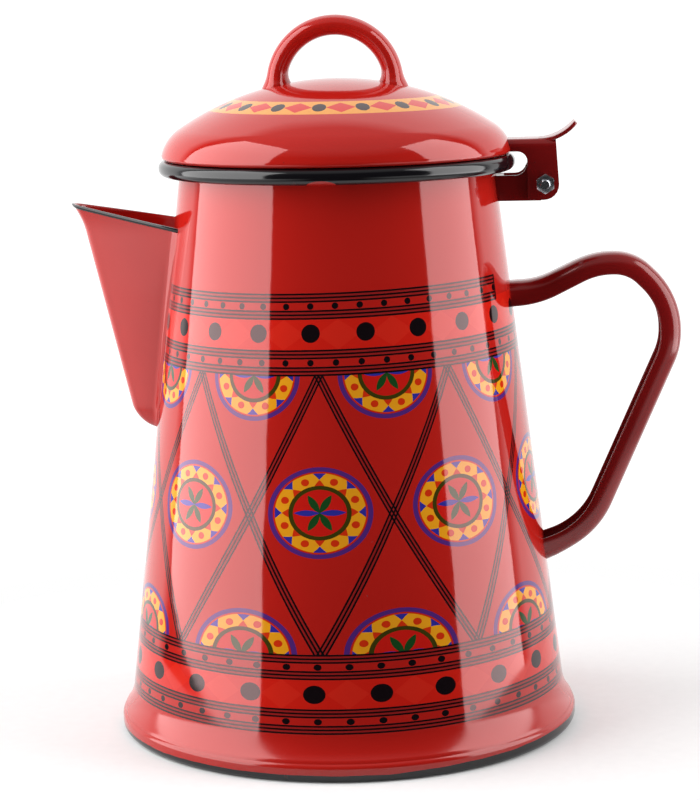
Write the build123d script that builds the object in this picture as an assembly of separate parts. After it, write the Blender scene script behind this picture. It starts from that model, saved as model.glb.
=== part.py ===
from build123d import *
from math import asin, cos, hypot, pi, radians, sin, sqrt, tan
import os

# Arabic coffee pot of enamelled steel: a conical body with a beak spout, a channel handle, and a
# domed lid that turns on a bolt. Millimetres, +Z up, origin on the floor under the pot's axis.
# The spout points to -X; the handle and the hinge are on +X.

# Sheet and fits
sheet = 1.0  # enamelled steel of the wall, pan, spout and lid
moving_gap = 0.3  # air between the lid's pieces and the pot's
pivot_clearance = 0.05  # round the bolt, on the radius

# Body
body_height = 186.0  # floor to the top of the rim
neck_radius = 51.0  # outside of the wall just under the rim
neck_height = 6.0  # straight part of the wall, inside the rolled rim
foot_flare = 4.0  # from the cone's lower end out to the seam
flare_height = 14.0  # floor to the start of the flare
roll_sheet = 0.8  # thinner metal of the rolled rim
roll_width = 6.4
roll_height = 5.0
roll_round = 2.3
foot_radius = 75.0  # outside of the seam that the pot stands on
seam_height = 6.4
seam_width = 4.8
seam_round = 2.2
seam_cover = 0.8  # the seam stands out from the flared wall by this much
seam_floor = 1.2  # metal of the seam below the wall's edge
pan_height = 2.2  # floor to the underside of the pan
pan_step = 1.4  # the pan's middle is pressed up by this much
pan_border = 9.0

# Spout
spout_half_angle = 23.5  # between the spout's middle plane and each side
nose_radius = 4.5  # round the keel
lip_drop = 13.8  # rim to the lip
lip_out = 34.6  # each of these three is measured from the wall at its own height
bend_drop = 9.2  # lip to where the keel starts to bend out
bend_out = 29.2
heel_height = 106.0  # floor to the lower end of the straight keel
heel_out = 9.2
heel_round = 7.5  # height of the rounded end under the heel
edge_drop = 6.8  # lip to where the open edge meets the wall
edge_height = 1.3  # black edge of the spout
edge_proud = 0.35
heel_steps = 6
lip_steps = 5
strainer_hole = 5.0  # diameter
strainer_pitch = 7.5
strainer_margin = 4.5  # from a hole's middle to the spout's joint with the wall

# Handle. The distances outwards are measured from the wall where the upper end joins it.
handle_width = 14.0
handle_depth = 6.8
handle_sheet = 1.1
handle_round = 5.0
handle_drop = 45.4  # rim to the middle of the upper joint
shoulder_out = 7.0
arch_out = 26.6
arch_rise = 9.8  # upper joint to the middle of the channel along the arch
crest_out = 38.4
grip_out = 50.9
grip_drop = 2.4  # upper joint to the top of the straight grip
grip_length = 15.0
knuckle_out = 23.8
knuckle_height = 62.0
low_joint_height = 57.5  # floor to the middle of the lower joint
handle_bends = [30.0, 24.0, 13.5, 23.5, 21.0, 27.0]

# Lid
shoulder_radius = 13.75
shoulder_drop = 2.0  # the middle of the shoulder's curve lies this far below the lid's edge
lid_radius = 56.8  # outside of the shoulder's curve
lid_rise = 24.7  # lid's edge to its crown
edge_turn = 1.3  # height of the lid's turned-in edge
edge_tuck = 0.8
skirt_depth = 5.0  # how far the skirt reaches into the neck
knob_radius = 18.8  # middle of the bow
knob_sink = 2.0  # crown down to the middle of the bow
knob_thick = 6.6
knob_width = 11.0

# Hinge
pivot_out = 9.4  # rolled rim to the middle of the bolt
pivot_drop = 9.4  # rim down to the bolt
leaf_sheet = 1.2
leaf_width = 16.0
leaf_rise = 4.8  # rim to the top of the leaf
leaf_side = 3.9  # depth of the leaf's sides over the rim
leaf_back = 4.4  # bolt to the back edge of the sides
leaf_lean = 0.9  # the back edge is this much nearer at the top
leaf_front = 5.6  # bolt to the front edge of the sides
leaf_foot = 5.2  # bolt to the lower edge of the sides
leaf_round = 4.2
tab_reach = 9.4  # bolt to the tip of the thumb tab
tab_radius = 15.0
tab_turn = 50.0
notch_beside = 2.8  # rolled rim to the bracket, outwards
notch_below = 1.8  # rolled rim to the bracket, downwards
notch_round = 3.6
bracket_eye = 4.2  # radius of the bracket round the bolt
bracket_foot = 5.5  # bolt to the lower edge of the bracket
bracket_back = 1.6
bolt_diameter = 3.0
head_diameter = 5.6
head_height = 2.0
nut_across = 5.5
nut_height = 2.4
thread_end = 3.0  # bolt beyond the nut

# Places that follow from these sizes
cone_foot_radius = foot_radius - foot_flare
cone_top = body_height - neck_height
cone_slope = (cone_foot_radius - neck_radius) / (cone_top - flare_height)
neck_inside = neck_radius - sheet
roll_outside = neck_radius + roll_width
roll_bottom = body_height - roll_height
seam_inside = foot_radius - seam_width
lip_height = body_height - lip_drop
bend_height = lip_height - bend_drop
edge_root = lip_height - edge_drop
handle_top = body_height - handle_drop
seat = body_height + moving_gap
crown = seat + lid_rise
shoulder_middle = lid_radius - shoulder_radius
pivot_reach = roll_outside + pivot_out
pivot_height = body_height - pivot_drop
leaf_top = body_height + leaf_rise
bracket_width = leaf_width - 2 * (leaf_sheet + moving_gap)
tall = 2 * (crown + knob_radius)  # longer than anything that it has to cut


def wall_radius(height):
    """Outside radius of the cone at a height."""
    return cone_foot_radius - cone_slope * (height - flare_height)


def upright(near, far, low, high):
    """Rectangle in radius and height, or in X and Z."""
    return Pos(near, low) * Rectangle(far - near, high - low, align=Align.MIN)


def turned(edges):
    """Solid turned about the pot's axis from the edges of a section in radius and height."""
    return revolve(make_face(Plane.XZ * (Curve() + edges)), Axis.Z)


def turned_corners(*corners):
    """Solid turned about the pot's axis from the corners of a section."""
    return turned(Polyline(*corners, close=True).edges())


def ring(inner, outer, low, high):
    return turned_corners((inner, low), (outer, low), (outer, high), (inner, high))


def rounded_ring(inner, outer, low, high, radius):
    """Turned ring with both of its outer corners rounded."""
    section = fillet(upright(inner, outer, low, high).vertices().group_by(Axis.X)[-1], radius)
    return revolve(Plane.XZ * section, Axis.Z)


def largest(shape):
    """Main solid of a cut piece, without the offcuts that lie inside the body."""
    return shape.solids().sort_by(SortBy.VOLUME)[-1]


# Body
def wall_line(inset, top):
    """Edges of the wall from inside the seam up to a height, with their two ends."""
    start = (foot_radius - seam_cover - inset, seam_floor)
    foot = (start[0], seam_height)
    bend = (cone_foot_radius - inset, flare_height)
    neck = (neck_radius - inset, cone_top)
    end = (neck[0], top)
    flare = TangentArc(bend, foot, tangent=(bend[0] - neck[0], bend[1] - neck[1]))
    return [Line(start, foot), flare, Line(bend, neck), Line(neck, end)], start, end


def filled_body(top):
    """The body without its hollow. The outer pieces are cut to it."""
    edges, start, end = wall_line(0, top)
    edges += [Line(end, (0, top)), Line((0, top), (0, seam_floor)), Line((0, seam_floor), start)]
    return turned(edges)


def wall():
    outside, low_out, high_out = wall_line(0, body_height - roll_sheet)
    inside, low_in, high_in = wall_line(sheet, body_height - roll_sheet)
    return turned(outside + inside + [Line(low_out, low_in), Line(high_out, high_in)])


def spout_half_width(height):
    """Half the width of the spout at the wall."""
    return (spout_corner(height, 0) - wall_radius(height)) * tan(radians(spout_half_angle))


def strainer_holes():
    """Rows of holes through the wall behind the spout, as many in a row as it has room for."""
    holes = []
    height = heel_height + strainer_hole
    while height < edge_root - strainer_margin:
        room = max(0.0, spout_half_width(height) - strainer_margin)
        count = 1 + int(2 * room / strainer_pitch)
        for i in range(count):
            side = (i - (count - 1) / 2) * strainer_pitch
            hole = Cylinder(strainer_hole / 2, neck_radius, rotation=(0, 90, 0))
            holes.append(Pos(-wall_radius(height), side, height) * hole)
        height += strainer_pitch
    return holes


def body_shell():
    return wall() - strainer_holes()


def rim_bead():
    """Hollow rolled rim round the neck, with a lip that covers the wall's edge."""
    roll = rounded_ring(neck_radius, roll_outside, roll_bottom, body_height, roll_round)
    hollow = rounded_ring(
        neck_radius + roll_sheet,
        roll_outside - roll_sheet,
        roll_bottom + roll_sheet,
        body_height - roll_sheet,
        roll_round - roll_sheet,
    )
    lip = ring(neck_inside, neck_radius, body_height - roll_sheet, body_height)
    return roll - hollow + lip


def base_seam():
    """Ring folded round the edge of the wall. The pot stands on it."""
    return rounded_ring(seam_inside, foot_radius, 0, seam_height, seam_round) - wall()


def base_pan():
    step = seam_inside - pan_border
    low, high = pan_height, pan_height + pan_step
    under = [(0, high), (step - pan_step, high), (step, low), (seam_inside, low)]
    over = [(radius, height + sheet) for radius, height in reversed(under)]
    return turned_corners(*under, *over)


# Spout
def keel(height, grow):
    """Distance from the axis to the spout's keel, moved out by grow."""
    heel = wall_radius(heel_height) + heel_out
    bend = wall_radius(bend_height) + bend_out
    slope = (bend - heel) / (bend_height - heel_height)
    reach = heel + slope * (height - heel_height) + grow
    if height < heel_height:
        share = (heel_height - height) / (heel_round + grow)
        root = wall_radius(height)
        reach = root + (reach - root) * sqrt(max(0.0, 1 - share**2))
    if height > bend_height:
        curl = wall_radius(lip_height) + lip_out - bend - slope * bend_drop
        reach += curl * ((height - bend_height) / bend_drop) ** 2
    return reach


def spout_corner(height, grow):
    """Distance from the axis to where the spout's two sides would meet without the rounded keel."""
    return keel(height, grow) + (nose_radius + grow) * (1 / sin(radians(spout_half_angle)) - 1)


def spout_section(height, grow):
    """Level section of the spout: a wedge with a rounded nose, which starts inside the body."""
    corner, root = spout_corner(height, grow), neck_radius / 2
    half = (corner - root) * tan(radians(spout_half_angle))
    wedge = make_face(Polyline((-root, -half), (-root, half), (-corner, 0), close=True))
    wedge = fillet(wedge.vertices().sort_by(Axis.X)[0], nose_radius + grow)
    return Plane.XY.offset(height) * wedge


def spout_block(grow):
    """Filled spout, its outside moved out by grow."""
    end = heel_round + grow
    heights = [heel_height - end * cos(pi / 2 * i / heel_steps) for i in range(heel_steps + 1)]
    rise = bend_drop + edge_drop
    heights += [bend_height + rise * i / lip_steps for i in range(lip_steps + 1)]
    return loft([spout_section(height, grow) for height in heights], ruled=True)


def above_edge(drop):
    """Everything above the spout's open edge, or above a line that lies lower by drop."""
    root = wall_radius(edge_root)
    slope = edge_drop / (wall_radius(lip_height) + lip_out - root)
    near = edge_root - slope * root - drop
    far = near + slope * tall
    side = make_face(Polyline((0, near), (-tall, far), (-tall, 2 * tall), (0, 2 * tall), close=True))
    return extrude(Plane.XZ * side, foot_radius, both=True)


def spout_shell():
    shell = spout_block(0) - spout_block(-sheet) - above_edge(edge_height)
    return largest(shell - filled_body(tall))


def spout_edge():
    """Black edge of the spout, a little proud of its sides."""
    band = spout_block(edge_proud) - spout_block(-sheet) - above_edge(0)
    return largest((band & above_edge(edge_height)) - filled_body(tall))


# Handle
def handle_path():
    """Middle of the channel, with both ends inside the body."""
    wall_out = wall_radius(handle_top)
    knuckle = wall_out + knuckle_out
    fall = (knuckle_height - low_joint_height) / (knuckle - wall_radius(low_joint_height))
    corners = [
        (neck_inside, handle_top),
        (wall_out + shoulder_out, handle_top),
        (wall_out + arch_out, handle_top + arch_rise),
        (wall_out + crest_out, handle_top + arch_rise),
        (wall_out + grip_out, handle_top - grip_drop),
        (wall_out + grip_out, handle_top - grip_drop - grip_length),
        (knuckle, knuckle_height),
        (neck_inside, knuckle_height - fall * (knuckle - neck_inside)),
    ]
    return Plane.XZ * FilletPolyline(*corners, radius=handle_bends)


def crowned(width, radius):
    """Section as deep as the handle, with its two outer corners rounded."""
    strip = Rectangle(width, handle_depth)
    return fillet(strip.vertices().group_by(Axis.Y)[-1], radius)


def handle():
    """Channel, open towards the pot."""
    hollow = crowned(handle_width - 2 * handle_sheet, handle_round - handle_sheet)
    section = crowned(handle_width, handle_round) - Pos(0, -handle_sheet) * hollow
    path = handle_path()
    start = Plane(path @ 0, x_dir=(0, 1, 0), z_dir=path % 0)
    return largest(sweep(start * section, path) - filled_body(tall))


# Lid
def lid_section(inset):
    """Section of the lid out to its skin, set in by a distance: dome, shoulder and turned edge."""
    middle = seat - shoulder_drop
    rise = crown - middle
    dome = (shoulder_middle**2 + rise**2 - shoulder_radius**2) / (2 * (rise - shoulder_radius))
    lean = asin(shoulder_middle / (dome - shoulder_radius))
    low = asin((shoulder_drop + edge_turn) / shoulder_radius)

    def on_dome(angle):
        return (dome - inset) * sin(angle), crown - dome + (dome - inset) * cos(angle)

    def on_shoulder(angle):
        return (
            shoulder_middle + (shoulder_radius - inset) * sin(angle),
            middle + (shoulder_radius - inset) * cos(angle),
        )

    top, meet, edge = (0, crown - inset), on_dome(lean), on_shoulder(pi / 2 - low)
    tuck = (edge[0] - edge_tuck, seat)
    skin = [ThreePointArc(top, on_dome(lean / 2), meet)]
    skin += [ThreePointArc(meet, on_shoulder((lean + pi / 2 - low) / 2), edge)]
    return skin + [Line(edge, tuck), Line(tuck, (0, seat)), Line((0, seat), top)]


def lid_shell():
    return turned(lid_section(0)) - turned(lid_section(sheet))


def lid_skirt():
    """Ring under the lid: a flange out to its edge, and a skirt that swings clear of the neck."""
    low = body_height - skirt_depth
    swing = hypot(pivot_reach - neck_inside, pivot_drop) + moving_gap
    outer = pivot_reach - sqrt(swing**2 - (low - pivot_height) ** 2)
    inner = outer - sheet
    flange = ring(inner, lid_radius, seat, seat + sheet) & turned(lid_section(sheet))
    return ring(inner, outer, low, seat) + flange


def lid_knob():
    """Hollow bow, welded to the lid at both feet."""
    middle = crown - knob_sink
    foot = middle - lid_rise / 2
    left, top, right = (-knob_radius, middle), (0, middle + knob_radius), (knob_radius, middle)
    bow = Curve() + [
        Line((-knob_radius, foot), left),
        ThreePointArc(left, top, right),
        Line(right, (knob_radius, foot)),
    ]
    path = Plane.XZ * bow
    wide, thick = knob_width / 2, knob_thick / 2
    section = Ellipse(wide, thick) - Ellipse(wide - sheet, thick - sheet)
    start = Plane(path @ 0, x_dir=(0, 1, 0), z_dir=path % 0)
    return largest(sweep(start * section, path) - turned(lid_section(0)))


# Hinge
def two_sides(outline, width, thickness):
    """Two plates of one outline, whose outer faces are a width apart."""
    plate = extrude(Plane.XZ * outline, thickness)
    return [Pos(0, width / 2, 0) * plate, Pos(0, thickness - width / 2, 0) * plate]


def bolt_hole():
    return Pos(pivot_reach, 0, pivot_height) * Cylinder(
        bolt_diameter / 2 + pivot_clearance, 2 * leaf_width, rotation=(90, 0, 0)
    )


def hinge_leaf():
    """Folded leaf welded to the lid: a strip that ends in the thumb tab, and two sides."""
    foot = pivot_height - leaf_foot
    low = leaf_top - leaf_side
    front = pivot_reach - leaf_front
    back = pivot_reach + leaf_back
    side = make_face(
        Polyline(
            (shoulder_middle, leaf_top),
            (shoulder_middle, low),
            (front, low),
            (front, foot),
            (back, foot),
            (back, pivot_height),
            (back - leaf_lean, leaf_top),
            close=True,
        )
    )
    side = fillet(side.vertices().group_by(Axis.Y)[0].sort_by(Axis.X)[-1], leaf_round)
    side = fillet(side.vertices().sort_by_distance((front, low))[0], leaf_sheet)
    bend = pivot_reach + tab_reach - tab_radius * sin(radians(tab_turn))
    under = leaf_top - leaf_sheet
    curve_top = JernArc((bend, leaf_top), (1, 0), tab_radius, tab_turn)
    curve_under = JernArc((bend, under), (1, 0), tab_radius + leaf_sheet, tab_turn)
    strip = Curve() + [
        Line((shoulder_middle, leaf_top), (bend, leaf_top)),
        curve_top,
        Line(curve_top @ 1, curve_under @ 1),
        curve_under,
        Line((bend, under), (shoulder_middle, under)),
        Line((shoulder_middle, under), (shoulder_middle, leaf_top)),
    ]
    leaf = extrude(Plane.XZ * make_face(strip), leaf_width / 2, both=True)
    leaf += two_sides(side, leaf_width, leaf_sheet)
    return largest(leaf - turned(lid_section(0)) - bolt_hole())


def hinge_bracket():
    """Folded bracket welded to the wall: a back and two sides, notched round the rolled rim."""
    low = pivot_height - bracket_foot
    under_rim = roll_bottom - notch_below
    notch = upright(0, roll_outside + notch_beside, under_rim, tall)
    notch = fillet(notch.vertices().group_by(Axis.Y)[0].sort_by(Axis.X)[-1], notch_round)
    side = upright(neck_inside, pivot_reach, low, body_height - leaf_sheet)
    side += Pos(pivot_reach, pivot_height) * Circle(bracket_eye)
    back = Plane.XZ * upright(neck_inside, wall_radius(low) + bracket_back, low, under_rim)
    bracket = extrude(back, bracket_width / 2, both=True)
    bracket += two_sides(side - notch, bracket_width, leaf_sheet)
    return largest(bracket - filled_body(tall) - bolt_hole())


def on_bolt(section, start, length):
    """Section extruded along the bolt towards -Y, from a distance in front of the pot's middle."""
    plane = Plane((pivot_reach, -start, pivot_height), x_dir=(1, 0, 0), z_dir=(0, -1, 0))
    return extrude(plane * section, length)


def hinge_bolt():
    side = leaf_width / 2
    head = on_bolt(Circle(head_diameter / 2), -side - head_height, head_height)
    head = fillet(head.edges().sort_by(Axis.Y)[-1], head_height / 2)
    return head + on_bolt(Circle(bolt_diameter / 2), -side, 2 * side + nut_height + thread_end)


def hinge_nut():
    hexagon = RegularPolygon(nut_across / 2, 6, major_radius=False) - Circle(bolt_diameter / 2)
    return on_bolt(hexagon, leaf_width / 2, nut_height)


pieces = [
    body_shell,
    rim_bead,
    base_seam,
    base_pan,
    spout_shell,
    spout_edge,
    handle,
    hinge_bracket,
    lid_shell,
    lid_skirt,
    lid_knob,
    hinge_leaf,
    hinge_bolt,
    hinge_nut,
]

os.makedirs("parts", exist_ok=True)
for piece in pieces:
    export_step(piece(), f"parts/{piece.__name__}.step")
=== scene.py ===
from functools import partialmethod
from math import acos, asin, atan, cos, hypot, pi, radians, sin, sqrt, tan

import bmesh
import bpy
from mathutils import Matrix, Vector


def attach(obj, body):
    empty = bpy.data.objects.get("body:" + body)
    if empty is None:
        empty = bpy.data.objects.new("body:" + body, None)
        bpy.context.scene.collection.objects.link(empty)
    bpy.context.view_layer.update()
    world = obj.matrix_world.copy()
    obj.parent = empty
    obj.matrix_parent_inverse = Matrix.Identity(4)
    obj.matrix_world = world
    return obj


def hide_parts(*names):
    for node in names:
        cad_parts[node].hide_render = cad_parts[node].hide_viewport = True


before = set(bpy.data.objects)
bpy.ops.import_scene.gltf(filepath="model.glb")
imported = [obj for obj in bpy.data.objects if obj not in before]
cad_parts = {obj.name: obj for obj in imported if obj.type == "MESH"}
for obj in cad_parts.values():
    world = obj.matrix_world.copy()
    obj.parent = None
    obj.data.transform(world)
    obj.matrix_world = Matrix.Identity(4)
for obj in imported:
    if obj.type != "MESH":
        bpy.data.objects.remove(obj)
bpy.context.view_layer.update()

# The wall. One sheet of steel, conical, with a short straight neck and a foot that flares out. It
# is coated inside and out with glossy red enamel, and a printed transfer is fired into the
# outside. Strainer holes are punched through it behind the spout.
MM = 0.001
SHEET = 1.0
NECK_RADIUS = 51.0
CONE_TOP = 180.0
FLARE_RADIUS = 71.0
FLARE_HEIGHT = 14.0
SEAM_HEIGHT = 6.4
WALL_FOOT = 74.2
WALL_LOW = 1.2
WALL_TOP = 185.2
ROUND_STEPS = 288
NECK_BEND = 12
SHARP_EDGE = radians(38)


def wall_radius(height):
    """Outside of the cone at a height."""
    share = (height - FLARE_HEIGHT) / (CONE_TOP - FLARE_HEIGHT)
    return FLARE_RADIUS + share * (NECK_RADIUS - FLARE_RADIUS)


def made_of(name, corners, faces):
    """Object from corners in millimetres and faces, smooth up to its sharp edges."""
    mesh = bpy.data.meshes.new(name)
    mesh.from_pydata([Vector(corner) * MM for corner in corners], [], faces)
    shape = bmesh.new()
    shape.from_mesh(mesh)
    bmesh.ops.remove_doubles(shape, verts=shape.verts, dist=0.002 * MM)
    bmesh.ops.dissolve_degenerate(shape, edges=shape.edges, dist=0.0005 * MM)
    bmesh.ops.recalc_face_normals(shape, faces=shape.faces)
    shape.to_mesh(mesh)
    shape.free()
    piece = bpy.data.objects.new(name, mesh)
    bpy.context.scene.collection.objects.link(piece)
    smooth(piece)
    return piece


def smooth(piece):
    """Shades a piece smooth, apart from the edges where it really turns a corner."""
    for face in piece.data.polygons:
        face.use_smooth = True
    piece.data.set_sharp_from_angle(angle=SHARP_EDGE)


def net(rows, closed=True, capped=False):
    """Corners and faces of a skin over rows of points. Each row is a closed loop."""
    count = len(rows[0])
    corners = [point for row in rows for point in row]
    faces = []
    for i in range(len(rows) if closed else len(rows) - 1):
        here, there = i * count, (i + 1) % len(rows) * count
        for j in range(count):
            k = (j + 1) % count
            faces.append((here + j, here + k, there + k, there + j))
    if capped:
        faces.append(tuple(range(count)))
        faces.append(tuple(range(len(corners) - count, len(corners))))
    return corners, faces


def circle(steps):
    """The angles of equal steps round a full turn."""
    return [2 * pi * i / steps for i in range(steps)]


def turned(name, section, steps=ROUND_STEPS):
    """Piece turned about the pot's axis from a closed section of (radius, height) points."""
    rows = [[(r * cos(turn), r * sin(turn), z) for r, z in section] for turn in circle(steps)]
    return made_of(name, *net(rows))


def swung(middle, arm, turn):
    """End of an arm that is turned about its middle."""
    x = arm.x * cos(turn) - arm.y * sin(turn)
    y = arm.x * sin(turn) + arm.y * cos(turn)
    return middle.x + x, middle.y + y


def softened(points, radii, steps=6, closed=True):
    """The points of a section or a path with its corners rounded by the given radii."""
    result = []
    last = len(points) - 1
    for i, point in enumerate(points):
        radius = radii[i]
        if radius == 0 or (not closed and i in (0, last)):
            result.append(point)
            continue
        corner = Vector(point)
        before = Vector(points[i - 1]) - corner
        after = Vector(points[(i + 1) % len(points)]) - corner
        half = before.angle(after) / 2
        back = radius / tan(half)
        inward = (before.normalized() + after.normalized()).normalized()
        middle = corner + inward * radius / sin(half)
        start = corner + before.normalized() * back - middle
        sweep = start.angle_signed(corner + after.normalized() * back - middle)
        result += [swung(middle, start, -sweep * j / steps) for j in range(steps + 1)]
    return result


def spread(points, step):
    """The same line with points no further apart than a step."""
    result = [points[0]]
    for start, end in zip(points, points[1:]):
        count = max(1, int(hypot(end[0] - start[0], end[1] - start[1]) / step))
        for j in range(1, count + 1):
            share = j / count
            result.append(tuple(a + (b - a) * share for a, b in zip(start, end)))
    return result


def wall_line(inset, steps=10):
    """Section of one face of the wall: from the seam up the flare, the cone and the neck."""
    foot, bend = WALL_FOOT - inset, FLARE_RADIUS - inset
    fall = Vector((bend - (NECK_RADIUS - inset), FLARE_HEIGHT - CONE_TOP)).normalized()
    across = Vector((foot - bend, SEAM_HEIGHT - FLARE_HEIGHT))
    side = Vector((-fall.y, fall.x))
    radius = across.length_squared / (2 * across.dot(side))
    middle = Vector((bend, FLARE_HEIGHT)) + side * radius
    start = -side * radius
    sweep = start.angle_signed(Vector((foot, SEAM_HEIGHT)) - middle)
    flare = [swung(middle, start, -sweep * (1 - j / steps)) for j in range(steps + 1)]
    neck = softened([flare[-1], (NECK_RADIUS - inset, CONE_TOP), (NECK_RADIUS - inset, WALL_TOP)],
                    [0, NECK_BEND, 0], closed=False)
    return [(foot, WALL_LOW)] + flare[:-1] + spread(neck, 6)


def settled(piece):
    """Makes the change that waits on a piece part of its mesh."""
    shape = piece.evaluated_get(bpy.context.evaluated_depsgraph_get())
    mesh = bpy.data.meshes.new_from_object(shape)
    piece.modifiers.clear()
    old, piece.data = piece.data, mesh
    bpy.data.meshes.remove(old)
    smooth(piece)


def joined(piece, tool, how):
    """Cuts a piece with a tool, joins it to the tool or keeps what both share."""
    change = piece.modifiers.new("change", "BOOLEAN")
    change.operation = how
    change.object = tool
    change.solver = "EXACT"
    settled(piece)
    bpy.data.objects.remove(tool)


def upright_rod(radius, low, high, steps=32):
    """Corners and faces of a plain rod along Z, to be turned and moved as a cutting tool."""
    rows = [[(radius * cos(turn), radius * sin(turn), z) for turn in circle(steps)]
            for z in (low, high)]
    return net(rows, closed=False, capped=True)


HEEL_HEIGHT = 106.0
STRAINER_HOLE = 5.0
STRAINER_PITCH = 7.5
STRAINER_COUNTS = [1, 2, 2, 2, 3, 3, 3]
PUNCH_REACH = 8
wall = turned("wall", wall_line(0) + wall_line(SHEET)[::-1])
punches, punch_faces = [], []
for row, count in enumerate(STRAINER_COUNTS):
    height = HEEL_HEIGHT + STRAINER_HOLE + row * STRAINER_PITCH
    for i in range(count):
        side = (i - (count - 1) / 2) * STRAINER_PITCH
        corners, faces = upright_rod(STRAINER_HOLE / 2, -PUNCH_REACH, PUNCH_REACH)
        start = len(punches)
        punches += [(z - wall_radius(height), side + y, height + x) for x, y, z in corners]
        punch_faces += [tuple(start + k for k in face) for face in faces]
joined(wall, made_of("punches", punches, punch_faces), "DIFFERENCE")


class Measure:
    """A number that changes over the surface, worked out by the nodes of a material."""

    def __init__(self, tree, socket):
        self.tree, self.socket = tree, socket

    def worked(self, operation, *others):
        """This measure and others put through one operation of arithmetic."""
        node = self.tree.nodes.new("ShaderNodeMath")
        node.operation = operation
        for hole, value in zip(node.inputs, (self, *others)):
            if isinstance(value, Measure):
                self.tree.links.new(value.socket, hole)
            else:
                hole.default_value = value
        return Measure(self.tree, node.outputs[0])

    __add__ = partialmethod(worked, "ADD")
    __sub__ = partialmethod(worked, "SUBTRACT")
    __mul__ = __and__ = partialmethod(worked, "MULTIPLY")
    __truediv__ = partialmethod(worked, "DIVIDE")
    __abs__ = partialmethod(worked, "ABSOLUTE")
    __lt__ = partialmethod(worked, "LESS_THAN")
    __gt__ = partialmethod(worked, "GREATER_THAN")
    __or__ = most = partialmethod(worked, "MAXIMUM")
    least = partialmethod(worked, "MINIMUM")

    def long(self, other):
        """Length of the slope between two measures at right angles."""
        return (self * self + other * other).worked("SQRT")

    def off(self, period):
        """Distance to the nearest multiple of a period."""
        return self.worked("PINGPONG", period / 2)

    def ramp(self, low, high):
        """0 up to low, 1 from high on, and straight between them."""
        node = self.tree.nodes.new("ShaderNodeMapRange")
        self.tree.links.new(self.socket, node.inputs["Value"])
        node.inputs["From Min"].default_value = low
        node.inputs["From Max"].default_value = high
        return Measure(self.tree, node.outputs["Result"])


def three_ways(tree, place):
    """The measures of a place or a direction along X, Y and Z."""
    node = tree.nodes.new("ShaderNodeSeparateXYZ")
    tree.links.new(place, node.inputs[0])
    return [Measure(tree, output) for output in node.outputs]


def colour(red, green, blue):
    """Scene colour of a colour named by its three values up to 255."""
    values = [value / 255 for value in (red, green, blue)]
    return tuple(v / 12.92 if v <= 0.04045 else ((v + 0.055) / 1.055) ** 2.4 for v in values) + (1,)


def painted(tree, ground, paint, mask):
    """A ground with a paint over it where the mask is 1."""
    node = tree.nodes.new("ShaderNodeMix")
    node.data_type = "RGBA"
    tree.links.new(mask.socket, node.inputs[0])
    for hole, value in ((node.inputs[6], ground), (node.inputs[7], paint)):
        if isinstance(value, tuple):
            hole.default_value = value
        else:
            tree.links.new(value, hole)
    return node.outputs[2]


def coated(tree, ground, *coats):
    """A ground with several paints over it in turn, each where its mask is 1."""
    for paint, mask in coats:
        ground = painted(tree, ground, paint, mask)
    return ground


def effect(name, takes, gives):
    """Empty node group with named inputs and outputs, and its two end nodes."""
    group = bpy.data.node_groups.new(name, "ShaderNodeTree")
    for label, kind, value in takes:
        socket = group.interface.new_socket(name=label, in_out="INPUT", socket_type=kind)
        if value is not None:
            socket.default_value = value
    for label in gives:
        group.interface.new_socket(name=label, in_out="OUTPUT", socket_type="NodeSocketFloat")
    return group, group.nodes.new("NodeGroupInput"), group.nodes.new("NodeGroupOutput")


def grain(tree, place, size, detail=3.0):
    """Soft cloudy noise with spots of a size in metres."""
    node = tree.nodes.new("ShaderNodeTexNoise")
    node.inputs["Detail"].default_value = detail
    tree.links.new(place, node.inputs["Vector"])
    node.inputs["Scale"].default_value = 1 / size
    return Measure(tree, node.outputs[0])


def fired_enamel():
    """Glaze that ran and set in the kiln: cloudy depth, a slow ripple, pinholes and fine scuffs."""
    group, given, made = effect(
        "Fired enamel",
        [("Place", "NodeSocketVector", None), ("Pinholes", "NodeSocketFloat", 0.03)],
        ["Cloud", "Ripple", "Pinhole", "Scuff"],
    )
    place = given.outputs["Place"]
    cloud = grain(group, place, 0.035)
    ripple = grain(group, place, 0.028, 1.0) * 0.8 + grain(group, place, 0.006, 1.0) * 0.05
    cells = group.nodes.new("ShaderNodeTexVoronoi")
    cells.inputs["Scale"].default_value = 1 / 0.009
    group.links.new(place, cells.inputs["Vector"])
    allowed = grain(group, place, 0.06, 2.0)
    limit = Measure(group, given.outputs["Pinholes"]) * allowed.ramp(0.45, 0.62)
    pinhole = Measure(group, cells.outputs["Distance"]) < limit
    scratched = grain(group, place, 0.04, 2.0).ramp(0.4, 0.7)
    scuff = grain(group, place, 0.0022, 4.0).ramp(0.52, 0.8) & scratched
    gives = {"Cloud": cloud, "Ripple": ripple, "Pinhole": pinhole, "Scuff": scuff}
    for label, value in gives.items():
        group.links.new(value.socket, made.inputs[label])
    return group


FIRED_ENAMEL = fired_enamel()


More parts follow.
